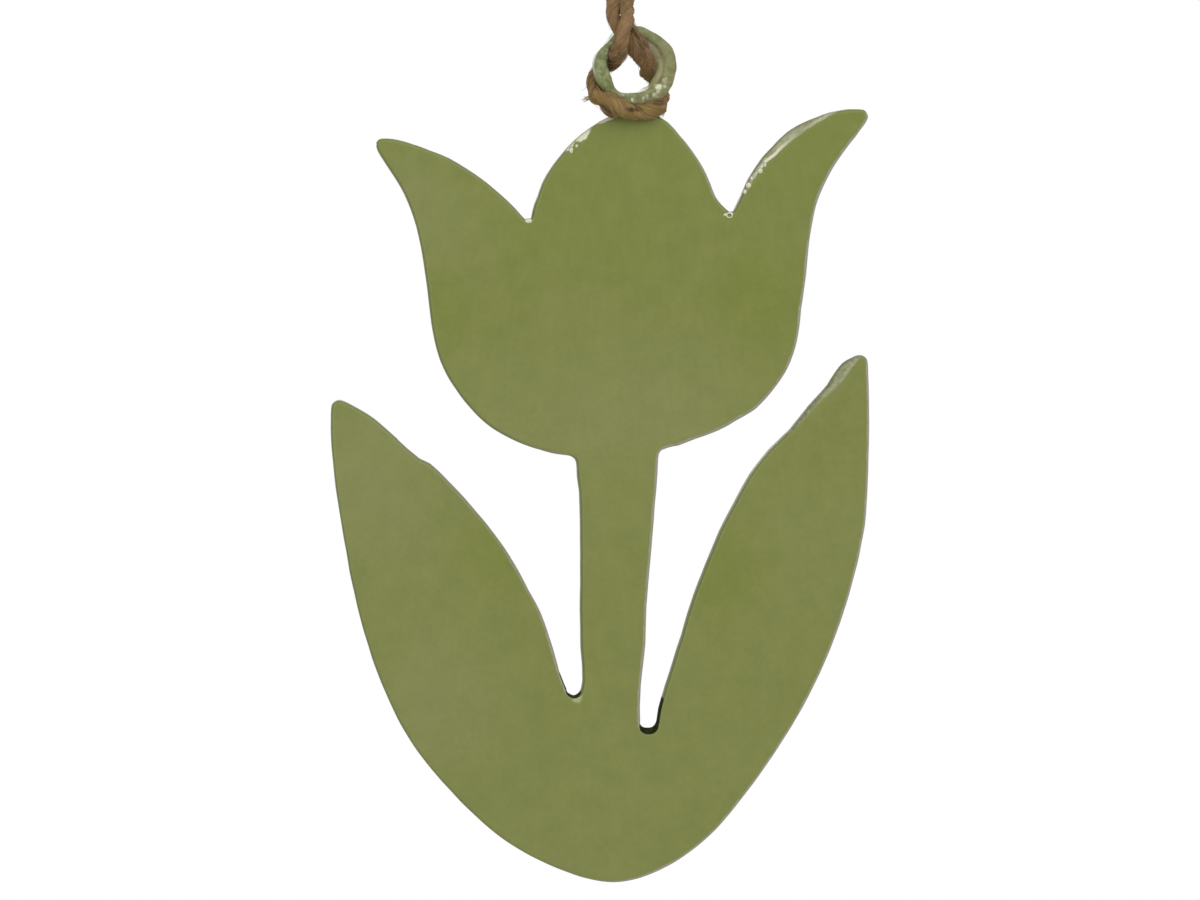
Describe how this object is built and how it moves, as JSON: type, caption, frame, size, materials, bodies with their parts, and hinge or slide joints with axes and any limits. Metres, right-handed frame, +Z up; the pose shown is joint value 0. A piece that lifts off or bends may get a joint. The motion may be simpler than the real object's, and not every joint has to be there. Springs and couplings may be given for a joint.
{
  "type": "hanging ornament",
  "caption": "Flat tulip cut from steel plate in green enamel, hung by a jute twine loop hitched round a small ring brazed to its top petal.",
  "frame": {"origin": "hang point: where a hook takes the weight, under the knot of the twine loop", "axes": "+Z up, along the hanging length; -Y is the flower's front, through its thickness; +X to the right as seen from the front"},
  "size_m": [0.0637, 0.0093, 0.1499],
  "materials": {
    "green_enamel": "satin",
    "ring_enamel": "satin",
    "braze_enamel": "satin",
    "jute_twine": "matte"
  },
  "bodies": {
    "hanging_loop": {"loop_right_side": "jute_twine", "loop_left_side": "jute_twine", "loop_knot": "jute_twine"},
    "upper_twine": {"upper_strand_front": "jute_twine", "upper_strand_back": "jute_twine"},
    "lower_twine": {"lower_strand_right": "jute_twine", "lower_strand_left": "jute_twine"},
    "ornament": {"tulip_plate": "green_enamel", "hanging_ring": "ring_enamel", "ring_braze": "braze_enamel", "twine_hitch": "jute_twine"}
  },
  "joints": [
    {"name": "loop_sway", "type": "hinge", "parent": "hanging_loop", "child": "upper_twine", "pos_m": [0, 0, -0.0198], "axis": [0, 1, 0], "range_deg": [-40, 40]},
    {"name": "twine_twist", "type": "hinge", "parent": "upper_twine", "child": "lower_twine", "pos_m": [0.00055, 0, -0.0265], "axis": [0, 0, 1], "range_deg": [-180, 180]},
    {"name": "ornament_tilt", "type": "hinge", "parent": "lower_twine", "child": "ornament", "pos_m": [0.0011, 0, -0.0333], "axis": [1, 0, 0], "range_deg": [-40, 40]}
  ]
}
